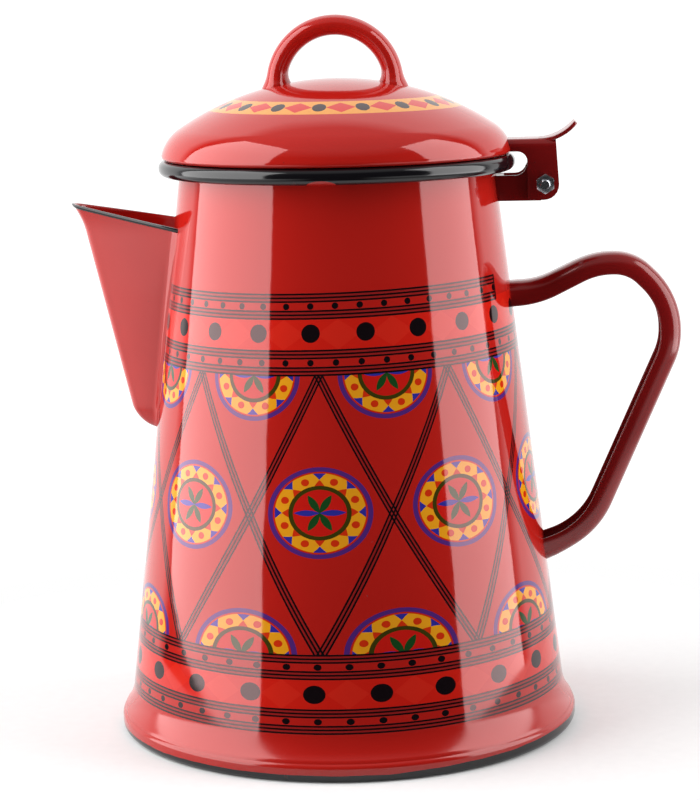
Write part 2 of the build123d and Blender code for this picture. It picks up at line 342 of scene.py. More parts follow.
class Finish:
    """A material with one glossy shader, and the places that its effects are measured from."""

    def __init__(self, name):
        self.material = bpy.data.materials.new(name)
        self.material.use_nodes = True
        self.tree = self.material.node_tree
        self.shader = self.tree.nodes["Principled BSDF"]
        where = self.tree.nodes.new("ShaderNodeTexCoord")
        self.place = where.outputs["Object"]

    def axes(self):
        """The three measures of the place, in millimetres."""
        return [way * (1 / MM) for way in three_ways(self.tree, self.place)]

    def add(self, group, **values):
        """Places a group in the material and gives its outputs by name."""
        node = self.tree.nodes.new("ShaderNodeGroup")
        node.node_tree = group
        self.tree.links.new(self.place, node.inputs["Place"])
        for label, value in values.items():
            node.inputs[label].default_value = value
        return {output.name: Measure(self.tree, output) for output in node.outputs}

    def feed(self, label, value):
        """Leads a measure or a colour to a named input of the shader."""
        self.tree.links.new(value.socket if isinstance(value, Measure) else value,
                            self.shader.inputs[label])

    def bump(self, height, depth):
        """Raises the surface by a height that runs from 0 to 1, over a depth in metres."""
        node = self.tree.nodes.new("ShaderNodeBump")
        node.inputs["Distance"].default_value = depth
        node.inputs["Strength"].default_value = 1.0
        self.tree.links.new(height.socket, node.inputs["Height"])
        self.feed("Normal", node.outputs["Normal"])


STEEL_SHOWING = colour(38, 30, 30)
GLAZE_INDEX, RED_GLAZE_INDEX = 1.52, 1.66
WARM_TINT = (1.0, 0.69, 0.69, 1)
WORN_HEIGHT, WORN_FADE, WORN_DULLNESS = 16.0, 6.0, 0.11


def enamel(name, ground, shade, gloss=0.045, pinholes=0.03, ripple=0.00022, red=True):
    """Enamel of one ground colour, deeper in the shade colour where the glaze is thick. The red
    and maroon glazes reflect warmly, and use has dulled the red near the foot."""
    finish = Finish(name)
    tree = finish.tree
    glaze = finish.add(FIRED_ENAMEL, Pinholes=pinholes)
    if callable(ground):
        ground = ground(finish)
    depth = glaze["Cloud"].ramp(0.35, 0.75) * 0.35
    coat = painted(tree, ground, shade, depth) if shade else ground
    finish.feed("Base Color", painted(tree, coat, STEEL_SHOWING, glaze["Pinhole"]))
    dullness = glaze["Cloud"] * 0.03 + gloss + glaze["Scuff"] * 0.05
    if red:
        under = finish.axes()[2] * -1.0 + WORN_HEIGHT
        dullness = dullness + under.ramp(0.0, WORN_FADE) * WORN_DULLNESS
        finish.shader.inputs["Specular Tint"].default_value = WARM_TINT
    finish.feed("Roughness", dullness)
    finish.shader.inputs["IOR"].default_value = RED_GLAZE_INDEX if red else GLAZE_INDEX
    finish.bump(glaze["Ripple"] - glaze["Pinhole"] * 0.1, ripple)
    return finish.material


# Colours of the transfer, and its measures in millimetres and in degrees round the axis.
RED = colour(181, 29, 22)
DEEP_RED = colour(146, 17, 16)
BAND_RED = colour(206, 30, 18)
LOZENGE_RED = colour(211, 38, 24)
INK = colour(14, 8, 12)
BROWN_INK = colour(150, 28, 26)
PURPLE = colour(80, 38, 118)
YELLOW = colour(232, 156, 26)
ORANGE_RED = colour(205, 48, 12)
BLUE = colour(44, 44, 150)
OLIVE = colour(58, 56, 10)
LEAF_GREEN = colour(22, 70, 28)
FIELD_RED = colour(200, 26, 18)
FRONT = -90.0
HIGH_BAND, LOW_BAND = 135.9, 26.55
INNER_TRIPLE, OUTER_TRIPLE, LINE_PITCH, LINE_HALF = 5.98, 11.12, 1.13, 0.28
DOT_ROW = 8.55
FIELD_LOW, FIELD_HIGH = 38.0, 123.45
LATTICE_PERIOD = 40.0
FIRST_ROSETTE = -92.9
FIELD_MIDDLE, FIELD_SPAN = 80.75, 85.5
LATTICE_WIDE, ROSETTES_APART, ROSETTES_MIDDLE = 39.9, 41.1, 81.9
ROSETTE_WIDE, ROSETTE_TALL = 12.85, 12.06
BIG_DOTS, LOW_DOTS, HIGH_DOTS = 21, 44, 46
GAP_IN_ROWS = 24.0
SPOUT_PRINT_LOW, SPOUT_PRINT_SLOPE, SPOUT_PRINT_START = 100.0, 0.17, 11.9
CONE_SLOPE = (FLARE_RADIUS - NECK_RADIUS) / (CONE_TOP - FLARE_HEIGHT)


def triple(distance, pitch):
    """Masks of a stroke of three inked lines at a distance from its middle: lines, and all."""
    lines = (distance < LINE_HALF) | (abs(distance - pitch) < LINE_HALF)
    return lines, distance < pitch + LINE_HALF


def rosette(tree, ground, wide, tall):
    """Paints the rosette by its distances from the middle, as shares of the ring of barrels."""
    reach = wide.long(tall)
    angle = tall.worked("ARCTAN2", wide) * (180 / pi)
    joint = angle.off(45.0)
    ring = (reach < 1.0) & (reach > 0.836)
    past = reach - 0.836
    outer = past < (joint * 0.0198).least(0.164)
    inner = past > (joint * -0.016).most(-0.15)
    spot = (reach - 0.83).long((joint - 22.5) * (0.83 * pi / 180))

    def leaf(along, across, length, half):
        share = along / length
        return abs(across) < (share - share * share) * (4 * half)

    lean, rise = cos(radians(60)), sin(radians(60))
    along, across = wide * lean + tall * rise, tall * lean - wide * rise
    return coated(
        tree, ground,
        (PURPLE, abs(reach - 1.1) < 0.055), (ORANGE_RED, reach < 1.025),
        (BLUE, ring & (joint < 9.0)), (YELLOW, outer & inner), (ORANGE_RED, spot < 0.09),
        (OLIVE, reach < 0.688), (FIELD_RED, reach < 0.588),
        (BLUE, leaf(wide, tall, 0.57, 0.075)), (LEAF_GREEN, leaf(along, across, 0.52, 0.085)))


def transfer(finish):
    """The printed ornament, from the place on the wall. It leaves out the inside and the part of
    the wall that the spout covers."""
    tree = finish.tree
    x, y, z = finish.axes()
    around = y.worked("ARCTAN2", x) * (180 / pi)
    radius = x.long(y)
    tilt = z * 0.000124 + 0.0043
    height = z - x * tilt
    upper = height > 80.0
    half = abs(height - FIELD_MIDDLE) > 21.35
    swing = ((around - FRONT) * (pi / 180)).worked("SINE")
    low_stretch = (height * -1.0 + 80.0).most(0.0) * 0.0012 + 0.035
    shift = swing * low_stretch * (180 / pi / LATTICE_PERIOD)
    cell = (around - FIRST_ROSETTE) / LATTICE_PERIOD - shift
    rise = (height - FIELD_MIDDLE) * (1 / FIELD_SPAN)

    in_field = (height > FIELD_LOW) & (height < FIELD_HIGH)
    (one, one_gap), (other, other_gap) = [
        triple((cell + rise * slant + 0.5).off(1.0) * LATTICE_WIDE, LINE_PITCH * 0.97)
        for slant in (1, -1)]
    ground = coated(tree, RED, (BROWN_INK, (one_gap | other_gap) & in_field),
                    (INK, (one | other) & in_field))

    wide = (cell + half * 0.5).off(1.0) * (ROSETTES_APART / ROSETTE_WIDE)
    tall = (height - ROSETTES_MIDDLE + half * 1.1).off(FIELD_SPAN / 2) / ROSETTE_TALL
    outside = (wide.long(tall) > 1.16) | ((height > FIELD_HIGH) | (height < FIELD_LOW))
    ground = painted(tree, rosette(tree, ground, wide, tall), ground, outside)

    above = height - (upper * (HIGH_BAND - LOW_BAND) + LOW_BAND)
    off = abs(above) * (upper * -0.025 + 1.025)
    closing = abs(around) - GAP_IN_ROWS
    open_rows = (closing > 0.0) | (above < 4.0) | ((upper * -1.0 + 1.0) > 0.5)
    turn = (around + 94.8 - upper * -0.6) * (BIG_DOTS / 360)
    side = turn.off(1.0) * (radius * (2 * pi / BIG_DOTS))
    mid = (turn + 0.5).off(1.0) * (radius * (2 * pi / BIG_DOTS))
    rhomb = mid * (1 / 6.6) + abs(above) * (1 / 4.6)
    big_wide = upper * -0.65 + 3.5
    oval = (side / big_wide).long((above - upper * 0.35) / 2.8)
    low_side = ((around + 93.9) * (LOW_DOTS / 360)).off(1.0) * (radius * (2 * pi / LOW_DOTS))
    high_side = ((around + 79.8) * (HIGH_DOTS / 360)).off(1.0) * (radius * (2 * pi / HIGH_DOTS))
    small = low_side * 0.8 + (high_side - low_side * 0.8) * upper
    spot = small.long(off - DOT_ROW)
    apart = abs(off - INNER_TRIPLE).least(abs(off - OUTER_TRIPLE))
    lines, extent = triple(apart, LINE_PITCH)
    end = (abs(closing) < 0.4) & (above > 4.8) & (off < 12.6) & upper
    ground = coated(
        tree, ground,
        (BAND_RED, off < INNER_TRIPLE), (LOZENGE_RED, (rhomb < 1.0) & (off < 4.8)),
        (INK, oval < 1.0), (INK, (spot < 1.0) & open_rows),
        (BROWN_INK, extent & open_rows), (INK, lines & open_rows), (INK, end))
    skin = (radius + z * CONE_SLOPE) > FLARE_RADIUS + FLARE_HEIGHT * CONE_SLOPE - SHEET / 2
    in_spout = (abs(y) - z * SPOUT_PRINT_SLOPE < -SPOUT_PRINT_START) & (z > SPOUT_PRINT_LOW)
    return painted(tree, RED, ground, skin & ((in_spout & (x < 0.0)) * -1.0 + 1.0))


wall.data.materials.append(enamel("printed red enamel", transfer, None))
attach(wall, "pot")
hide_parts("body_shell")

# The rim. A strip of thinner steel rolled into a hollow bead round the neck, which also covers the
# wall's edge. It is dipped in black enamel, thin enough to chip in one or two places.
BODY_HEIGHT = 186.0
ROLL_IN, ROLL_OUT, ROLL_LOW, ROLL_ROUND = 50.0, 57.4, 181.0, 2.3
BLACK = colour(16, 14, 18)
WORN_BLACK = colour(58, 34, 36)

rim = turned("rim", softened(
    [(ROLL_IN, WALL_TOP), (ROLL_IN, BODY_HEIGHT), (ROLL_OUT, BODY_HEIGHT), (ROLL_OUT, ROLL_LOW),
     (NECK_RADIUS, ROLL_LOW), (NECK_RADIUS, WALL_TOP)],
    [0, 0.5, ROLL_ROUND, ROLL_ROUND, 0.6, 0], steps=10))


def black_with_nick(finish):
    """Black with small brown chips scattered over it, and the one chip at the front where the red
    shows.
    """
    x, y, z = finish.axes()
    nick = ((x + 1.0) / 4.5).long((z - ROLL_LOW) / 1.4) < 1.0
    chips = grain(finish.tree, finish.place, 0.004, 4.0) > 0.735
    ground = painted(finish.tree, BLACK, WORN_BLACK, chips)
    return painted(finish.tree, ground, RED, nick & (y < 0.0))


rim.data.materials.append(
    enamel("black rim enamel", black_with_nick, None, 0.09, 0.05, 0.0003, red=False))
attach(rim, "pot")
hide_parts("rim_bead")

# The foot. The wall's edge is folded with the pan's into one seam, which the pot stands on. The
# seam is dipped in black, and the red of the wall laps over its upper edge.
FOOT_RADIUS = 75.0
SEAM_INSIDE, SEAM_ROUND, SEAM_CORNER = 70.2, 2.2, 0.4


def arc(out, up, radius, first, last, steps):
    """Points of an arc round a middle, by angles that start at the top."""
    turns = [first + (last - first) * i / steps for i in range(steps + 1)]
    return [(out + radius * sin(turn), up + radius * cos(turn)) for turn in turns]


first = asin((WALL_FOOT - FOOT_RADIUS + SEAM_ROUND) / SEAM_ROUND)
bead = arc(FOOT_RADIUS - SEAM_ROUND, SEAM_ROUND, SEAM_ROUND, first, pi, 24)
bead = [(out, up + SEAM_HEIGHT - 2 * SEAM_ROUND if up > SEAM_ROUND else up) for out, up in bead]
seam = turned("seam", [(WALL_FOOT, WALL_LOW)] + bead
              + [(SEAM_INSIDE + SEAM_CORNER, 0), (SEAM_INSIDE, SEAM_CORNER),
                 (SEAM_INSIDE, SEAM_HEIGHT - SEAM_CORNER), (SEAM_INSIDE + SEAM_CORNER, SEAM_HEIGHT),
                 (WALL_FOOT - SHEET, SEAM_HEIGHT), (WALL_FOOT - SHEET, WALL_LOW)])


def lapped_black(finish):
    """Black up to the line where the red laps over it, which wavers and rises to the right."""
    x, y, z = finish.axes()
    waver = grain(finish.tree, finish.place, 0.012, 2.0) * 0.9
    line = x.ramp(20.0, 70.0) * 1.5 + waver + 2.1
    ground = painted(finish.tree, BLACK, RED, z > line)
    chips = grain(finish.tree, finish.place, 0.003, 4.0) > 0.72
    return painted(finish.tree, ground, WORN_BLACK, chips & (z < line))


seam.data.materials.append(
    enamel("black seam enamel", lapped_black, None, 0.12, 0.06, 0.0003, red=False))
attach(seam, "pot")
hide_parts("base_seam")

# The pan. The bottom of the pot, a pressed disc with its middle raised a little, held in the seam.
PAN_LOW, PAN_STEP, PAN_BORDER = 2.2, 1.4, 9.0
CLOSE = 0.001  # a section starts this near the axis
pan_flat = SEAM_INSIDE - PAN_BORDER
pan_under = [(CLOSE, PAN_LOW + PAN_STEP), (pan_flat - PAN_STEP, PAN_LOW + PAN_STEP),
             (pan_flat, PAN_LOW), (SEAM_INSIDE, PAN_LOW)]
pan_over = [(r, z + SHEET) for r, z in pan_under[::-1]]
pan = turned("pan", softened(pan_under + pan_over, [0, 3, 1.5, 0, 0, 2.5, 4, 0]))
PLAIN_RED = enamel("plain red enamel", RED, DEEP_RED)
pan.data.materials.append(PLAIN_RED)
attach(pan, "pot")
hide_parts("base_pan")

# The spout. One sheet folded to a beak with a rounded keel, welded to the wall along both sides.
# The enamel fills the corner of the weld. Its open edge slopes up to the lip.
SPOUT_HALF_ANGLE = radians(23.5)
NOSE_RADIUS = 4.5
LIP_HEIGHT, LIP_OUT = 172.2, 34.6
BEND_HEIGHT, BEND_OUT, BEND_DROP = 163.0, 29.2, 9.2
HEEL_OUT, HEEL_ROUND = 9.2, 7.5
EDGE_ROOT, EDGE_HEIGHT = 165.4, 1.3
SIDE_BULGE = 0.9
WELD_REACH, WELD_RISE = 2.6, 0.9
SINK = 0.3  # a welded piece runs this far into the wall
EDGE_RUN = wall_radius(LIP_HEIGHT) + LIP_OUT - wall_radius(EDGE_ROOT)
EDGE_SLOPE = (LIP_HEIGHT - EDGE_ROOT) / EDGE_RUN
SHARES = [i / 40 for i in range(-40, 41)]
HEEL_STEPS, SPOUT_STEPS = 14, 36


def keel(height, grow):
    """Distance from the axis to the keel, moved out by grow."""
    heel = wall_radius(HEEL_HEIGHT) + HEEL_OUT
    bend = wall_radius(BEND_HEIGHT) + BEND_OUT
    slope = (bend - heel) / (BEND_HEIGHT - HEEL_HEIGHT)
    reach = heel + slope * (height - HEEL_HEIGHT) + grow
    if height < HEEL_HEIGHT:
        share = (HEEL_HEIGHT - height) / (HEEL_ROUND + grow)
        root = wall_radius(height)
        reach = root + (reach - root) * sqrt(max(0.0, 1 - share**2))
    if height > BEND_HEIGHT:
        curl = wall_radius(LIP_HEIGHT) + LIP_OUT - bend - slope * BEND_DROP
        reach += curl * ((height - BEND_HEIGHT) / BEND_DROP) ** 2
    return reach


def spout_level(share, height, grow, weld):
    """Place on the level section of the spout. Share runs from -1 to 1, with the keel at 0."""
    nose = NOSE_RADIUS + grow
    lean = SPOUT_HALF_ANGLE
    corner = keel(height, grow) + nose * (1 / sin(lean) - 1)
    middle = corner - nose / sin(lean)
    wall_there = wall_radius(height) - SINK
    flat = corner * cos(lean) - sqrt(wall_there**2 - (corner * sin(lean)) ** 2) - nose / tan(lean)
    bow = nose * (pi / 2 - lean)
    if flat < 0:
        cosine = (wall_there**2 - middle**2 - nose**2) / (2 * middle * nose)
        flat, bow = 0.0, nose * acos(max(-1.0, min(1.0, cosine)))
    whole = flat + bow
    along = abs(share) * whole
    if along <= bow:
        turn = along / nose
        x, y = middle + nose * cos(turn), nose * sin(turn)
        out = (cos(turn), sin(turn))
    else:
        far = nose / tan(lean) + along - bow
        share_along = (along - bow) / flat
        bulge = SIDE_BULGE * 4 * share_along * (1 - share_along) * min(1.0, flat / 24)
        x, y = corner - far * cos(lean) + bulge * sin(lean), far * sin(lean) + bulge * cos(lean)
        out = (sin(lean), cos(lean))
    left = whole - along
    if weld and left < WELD_REACH and whole > 0:
        rise = WELD_RISE * (1 - left / WELD_REACH) ** 2 * min(1.0, whole / 8)
        x, y = x + out[0] * rise, y + out[1] * rise
        if left < 0.01:
            trim = wall_there / hypot(x, y)
            x, y = x * trim, y * trim
    return -x, y if share > 0 else -y


def spout_place(share, base, tilt, grow, weld=False):
    """Place on the spout on a line that starts at a height by the wall and rises outwards."""
    height = base
    for _ in range(6):
        x, y = spout_level(share, height, grow, weld)
        height = base + tilt * (abs(x) - wall_radius(EDGE_ROOT))
    x, y = spout_level(share, height, grow, weld)
    return x, y, height


def eased(share):
    """The share with a slow start and a slow end."""
    share = max(0.0, min(1.0, share))
    return share * share * (3 - 2 * share)


def spout_lines(grow):
    """Start height and tilt of each line across the spout, from its foot to its edge."""
    end = HEEL_ROUND + grow
    lines = [(HEEL_HEIGHT - end * cos(pi / 2 * i / HEEL_STEPS), 0.0) for i in range(HEEL_STEPS)]
    rise = EDGE_ROOT - EDGE_HEIGHT - HEEL_HEIGHT
    return lines + [(HEEL_HEIGHT + rise * i / SPOUT_STEPS, EDGE_SLOPE * eased(i / SPOUT_STEPS))
                    for i in range(SPOUT_STEPS + 1)]


rows = []
for share in SHARES:
    skin = [spout_place(share, base, tilt, 0, True) for base, tilt in spout_lines(0)]
    inside = [spout_place(share, base, tilt, -SHEET) for base, tilt in spout_lines(-SHEET)]
    rows.append(skin + inside[::-1])
corners, faces = net(rows, closed=False)
last = len(corners) - len(rows[0])
count = len(rows[0])
for start in (0, last):
    faces += [(start + j, start + j + 1, start + count - 2 - j, start + count - 1 - j)
              for j in range(count // 2 - 1)]
spout = made_of("spout", corners, faces)
spout.data.materials.append(PLAIN_RED)
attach(spout, "pot")
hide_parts("spout_shell")

# The spout's edge. The cut edge of the sheet is dipped in black enamel, which sets as a bead a
# little proud of the red.
EDGE_PROUD = 0.35


def bar(name, rows):
    """Piece with a skin over rows of points and a face at each end."""
    return made_of(name, *net(rows, closed=False, capped=True))


edge_loop = [(-SHEET, EDGE_HEIGHT), (-SHEET, 0.4), (-0.85, 0.12), (-0.6, 0.0), (-0.1, 0.0),
             (0.2, 0.12), (EDGE_PROUD, 0.4), (EDGE_PROUD, 0.9), (0.2, 1.2), (0.0, EDGE_HEIGHT)]
rows = [[spout_place(share, EDGE_ROOT - drop, EDGE_SLOPE, grow) for grow, drop in edge_loop]
        for share in SHARES]
edge = bar("spout_rim", rows)


def black_outside(finish):
    """Black up to the sheet's inner corner. The inside of the spout stays red."""
    where = finish.tree.nodes.new("ShaderNodeTexCoord")
    across = three_ways(finish.tree, where.outputs["Normal"])[0]
    return painted(finish.tree, BLACK, RED, across > 0.3)


edge.data.materials.append(enamel("black edge enamel", black_outside, None, 0.09, 0.05, red=False))
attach(edge, "pot")
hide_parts("spout_edge")

# The handle. A strip pressed into a channel, with its open side towards the pot, bent to the hand
# and welded to the wall at both ends. It is coated with a dark maroon enamel.
HANDLE_WIDE, HANDLE_DEEP, HANDLE_SHEET = 14.0, 6.8, 1.1
HANDLE_PATH = [(50.0, 140.6), (62.75, 140.6), (82.35, 150.4), (94.15, 150.4), (106.65, 138.2),
               (106.65, 123.2), (79.55, 62.0)]
HANDLE_BENDS = [0, 30, 24, 13.5, 23.5, 21, 27, 0]
HANDLE_CROWN, HANDLE_LIP = 5.0, 0.5
HANDLE_ROOT = 50.0
LOW_JOINT = 57.5
HIGH_FILL, HIGH_RUN, LOW_FILL, LOW_RUN = 1.0, 24, 0.9, 6


def channel(wide, deep, metal, crown, lip):
    """Section of a channel, open downwards: (across, up) points in a closed loop."""
    side, top = wide / 2, deep / 2
    inner, roof = side - metal, top - metal
    return softened(
        [(-side, -top), (-side, top), (side, top), (side, -top),
         (inner, -top), (inner, roof), (-inner, roof), (-inner, -top)],
        [lip, crown, crown, lip, lip, crown - metal, crown - metal, lip], steps=7)


def stations(path, bends, step):
    """Places along a bent path in X and Z, each with the direction of travel."""
    line = spread(softened(path, bends, steps=16, closed=False), step)
    result = []
    for i, place in enumerate(line):
        before, after = line[max(0, i - 1)], line[min(len(line) - 1, i + 1)]
        way = Vector((after[0] - before[0], after[1] - before[1])).normalized()
        result.append((Vector(place), way))
    return result


def to_wall(point, way):
    """Where a line through a point in X and Z meets the wall, just under its face."""
    x, y, z = point
    for _ in range(12):
        goal = sqrt(max(0.0, (wall_radius(z) - SINK) ** 2 - y * y))
        move = (goal - x) / way.x
        x, z = goal, z + move * way.y
    return x, y, z


def swept(name, section, path, fill):
    """Section carried along stations, with its back raised by a fill. The ends move to the wall."""
    rows = []
    for i, (place, way) in enumerate(path):
        side = Vector((-way.y, way.x))
        loop = []
        for across, up in section:
            spot = place + side * (up + (fill(i, len(path)) if up > 0 else 0))
            loop.append((spot.x, across, spot.y))
        rows.append(loop)
    for end in (0, -1):
        rows[end] = [to_wall(point, path[end][1]) for point in rows[end]]
    return bar(name, rows)


knuckle, knuckle_height = HANDLE_PATH[-1]
fall = (knuckle_height - LOW_JOINT) / (knuckle - wall_radius(LOW_JOINT))
path = HANDLE_PATH + [(HANDLE_ROOT, knuckle_height - fall * (knuckle - HANDLE_ROOT))]
trail = [(place, way) for place, way in stations(path, HANDLE_BENDS, 1.5)
         if place.x > wall_radius(place.y) + 2.0]
section = channel(HANDLE_WIDE, HANDLE_DEEP, HANDLE_SHEET, HANDLE_CROWN, HANDLE_LIP)


def weld_fill(i, count):
    """The back is deeper where it runs into a weld, over a longer run at the top one."""
    high = HIGH_FILL * max(0.0, 1 - i / HIGH_RUN) ** 1.5
    return high + LOW_FILL * max(0.0, 1 - (count - 1 - i) / LOW_RUN) ** 2


handle = swept("handle", section, [trail[0]] + trail + [trail[-1]], weld_fill)
MAROON, DEEP_MAROON = colour(138, 20, 20), colour(92, 11, 14)
maroon = enamel("maroon enamel", MAROON, DEEP_MAROON, 0.14, 0.04)
handle.data.materials.append(maroon)
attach(handle, "pot")
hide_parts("handle")

# The lid. A pressed dome with a rounded shoulder and its edge turned in. A printed band of ovals
# and lozenges runs round it.
SEAT = BODY_HEIGHT + 0.3
CROWN = SEAT + 24.7
SHOULDER_RADIUS, SHOULDER_MIDDLE, SHOULDER_SINK = 13.75, 43.05, 2.0
SHOULDER_HEIGHT = SEAT - SHOULDER_SINK
EDGE_TURN, EDGE_TUCK, EDGE_INSIDE = 1.3, 0.8, 54.6
lid_rise = CROWN - SHOULDER_HEIGHT
DOME = (SHOULDER_MIDDLE**2 + lid_rise**2 - SHOULDER_RADIUS**2) / (2 * (lid_rise - SHOULDER_RADIUS))
DOME_MIDDLE = CROWN - DOME


def lid_line(inset):
    """Section of one face of the lid, from its crown to its edge."""
    lean = asin(SHOULDER_MIDDLE / (DOME - SHOULDER_RADIUS))
    low = pi / 2 - asin((SHOULDER_SINK + EDGE_TURN) / SHOULDER_RADIUS)
    crown = arc(0, DOME_MIDDLE, DOME - inset, 0, lean, 24)
    shoulder = arc(SHOULDER_MIDDLE, SHOULDER_HEIGHT, SHOULDER_RADIUS - inset, lean, low, 24)
    return [(CLOSE, crown[0][1])] + crown[1:-1] + shoulder


skin = lid_line(0)
out, high = skin[-1]
turned_in = softened([(out, high), (out - 0.1, high - 0.7), (out - EDGE_TUCK, SEAT)],
                     [0, 0.5, 0], closed=False)[1:]
lid = turned("lid", skin + turned_in + [(EDGE_INSIDE, SEAT)] + lid_line(SHEET)[::-1])
LID_BAND_MIDDLE, LID_BAND_HALF = 36.55, 3.95
LID_OVALS, LID_FIRST = 17, -94.0
BAND_YELLOW = colour(226, 150, 52)


def lid_print(finish):
    """The printed band, on the outside only: yellow, with black ovals and red lozenges by turns."""
    tree = finish.tree
    x, y, z = finish.axes()
    radius = x.long(y)
    turn = (y.worked("ARCTAN2", x) * (180 / pi) - LID_FIRST) * (LID_OVALS / 360)
    above = radius - LID_BAND_MIDDLE
    side = turn.off(1.0) * (radius * (2 * pi / LID_OVALS))
    mid = (turn + 0.5).off(1.0) * (radius * (2 * pi / LID_OVALS))
    outer = abs(above)
    ground = coated(tree, RED, (BAND_YELLOW, outer < LID_BAND_HALF),
                    (BAND_RED, (mid * (1 / 4.6) + outer * (1 / 3.0)) < 1.0),
                    (INK, (side / 2.2).long(above / 2.35) < 1.0))
    outside = radius.long(z - DOME_MIDDLE) > DOME - SHEET / 2
    return painted(tree, RED, ground, outside)


lid.data.materials.append(enamel("printed lid enamel", lid_print, None))
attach(lid, "lid")
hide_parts("lid_shell")

# The skirt. A ring under the lid that keeps it in the neck, small enough to swing clear of it.
SKIRT_IN, SKIRT_OUT, SKIRT_LOW, FLANGE_OUT = 46.75, 47.75, 181.0, 54.4
flange = [(SKIRT_IN, SKIRT_LOW), (SKIRT_OUT, SKIRT_LOW), (SKIRT_OUT, SEAT), (FLANGE_OUT, SEAT),
          (FLANGE_OUT, SEAT + SHEET), (SKIRT_IN, SEAT + SHEET)]
skirt = turned("skirt", softened(flange, [0.4, 0.4, 1.0, 0, 0, 1.4], steps=5))
skirt.data.materials.append(PLAIN_RED)
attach(skirt, "lid")
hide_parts("lid_skirt")

# The knob. A bow of pressed steel, oval in section, welded to the lid at both feet, where the
# enamel runs out in a soft foot.
KNOB_RADIUS, KNOB_MIDDLE, KNOB_WIDE, KNOB_THICK = 18.8, 209.0, 11.0, 6.6
FOOT_REACH, FOOT_SPREAD, FOOT_SINK = 4.5, 1.5, 0.35
LEG_HEIGHTS = [203.4, 204.2, 205, 206, 207, 208]
BOW_STEPS, OVAL_STEPS = 72, 40


def dome_height(x, y):
    """Height of the lid's outside."""
    return DOME_MIDDLE + sqrt(DOME**2 - x**2 - y**2)


leg = [(-KNOB_RADIUS, z) for z in LEG_HEIGHTS]
bow = arc(0, KNOB_MIDDLE, KNOB_RADIUS, -pi / 2, pi / 2, BOW_STEPS)
rows = []
for x, z in leg + bow + [(-x, z) for x, z in leg[::-1]]:
    way = Vector((0, 1))
    if z > KNOB_MIDDLE - 0.01:
        way = Vector((z - KNOB_MIDDLE, -x)).normalized()
    elif x > 0:
        way = -way
    side = Vector((-way.y, way.x))
    loop = []
    for turn in circle(OVAL_STEPS):
        across, up = KNOB_WIDE / 2 * cos(turn), KNOB_THICK / 2 * sin(turn)
        over_lid = z + side.y * up - dome_height(x + side.x * up, across)
        close = 1 - min(1.0, max(0.0, over_lid / FOOT_REACH))
        grow = 1 + FOOT_SPREAD * close**2 / hypot(across, up)
        across, up = across * grow, up * grow
        out = x + side.x * up
        loop.append((out, across, max(z + side.y * up, dome_height(out, across) - FOOT_SINK)))
    rows.append(loop)
knob = bar("knob", rows)
knob.data.materials.append(PLAIN_RED)
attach(knob, "lid")
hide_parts("lid_knob")

# The hinge leaf. A strip folded down at both sides and welded to the lid's shoulder. It reaches
# over the rim to the bolt and ends in a thumb tab, which curls up.
PIVOT, PIVOT_HEIGHT = 66.8, 176.6
LEAF_SHEET, LEAF_WIDE, LEAF_TOP, LEAF_CROWN = 1.2, 16.0, 190.8, 2.6
LEAF_START, LEAF_SIDE, FOLD_DEEP = 45.0, 3.9, 24.0
EAR_IN, EAR_OUT, EAR_LOW, BACK_OUT = 5.6, 4.4, 171.4, 3.5
TAB_RADIUS, TAB_TURN, TAB_REACH = 15.0, radians(50), 9.4
TAB_START = PIVOT + TAB_REACH - TAB_RADIUS * sin(TAB_TURN)
TAB_LAP, TAB_NARROW, TAB_FULL, TAB_END, TAB_CORNER = 0.3, 5.5, 70.3, PIVOT + 12, 4.5
COAT_ROUND, COAT_ANGLE = 0.28, radians(40)
HOLE_RADIUS, BLOCK_STEPS = 1.55, 144


def plate(name, outline, near, far):
    """Flat plate of an outline in X and Z, between two distances along Y."""
    return bar(name, [[(x, y, z) for x, z in outline] for y in (near, far)])


def eased_edges(piece):
    """Rounds the sharp edges of a piece, as its coat of enamel does."""
    change = piece.modifiers.new("edges", "BEVEL")
    change.width = COAT_ROUND * MM
    change.segments = 3
    change.limit_method = "ANGLE"
    change.angle_limit = COAT_ANGLE
    change.harden_normals = False
    settled(piece)


side = LEAF_WIDE / 2
above = LEAF_TOP + LEAF_SHEET
strap_low = LEAF_TOP - LEAF_SIDE
leaf_side = softened(
    [(LEAF_START, above), (LEAF_START, strap_low), (PIVOT - EAR_IN, strap_low),
     (PIVOT - EAR_IN, EAR_LOW), (PIVOT + EAR_OUT, EAR_LOW), (PIVOT + EAR_OUT, PIVOT_HEIGHT),
     (PIVOT + BACK_OUT, LEAF_TOP - 0.3), (PIVOT + BACK_OUT, above)],
    [0, 0, 3.2, 0.5, 4.8, 3, 0, 0])
folded = channel(LEAF_WIDE, FOLD_DEEP, LEAF_SHEET, LEAF_CROWN, 0.0)
leaf = bar("leaf", [[(x, y, z + LEAF_TOP - FOLD_DEEP / 2) for y, z in folded]
                    for x in (LEAF_START - 1, 72)])
joined(leaf, plate("side", leaf_side, -side - 1, side + 1), "INTERSECT")
over, under = [arc(TAB_START, LEAF_TOP + TAB_RADIUS, radius, pi, pi - TAB_TURN, 12)
               for radius in (TAB_RADIUS, TAB_RADIUS + LEAF_SHEET)]
tab = plate("tab", [(TAB_START - TAB_LAP, LEAF_TOP)] + over + under[::-1]
            + [(TAB_START - TAB_LAP, LEAF_TOP - LEAF_SHEET)], -side, side)
half = [(50, TAB_NARROW), (65, TAB_NARROW), (TAB_FULL, side), (TAB_END, side)]
tip = softened([(x, -y) for x, y in half] + half[::-1], [0, 0, 0, TAB_CORNER, TAB_CORNER, 0, 0, 0])
joined(tab, bar("tip", [[(x, y, z) for x, y in tip] for z in (180, 205)]), "INTERSECT")
joined(leaf, tab, "UNION")
block = lid_line(SHEET / 2) + [(54, SEAT - 6), (CLOSE, SEAT - 6)]
joined(leaf, turned("lid block", block, BLOCK_STEPS), "DIFFERENCE")


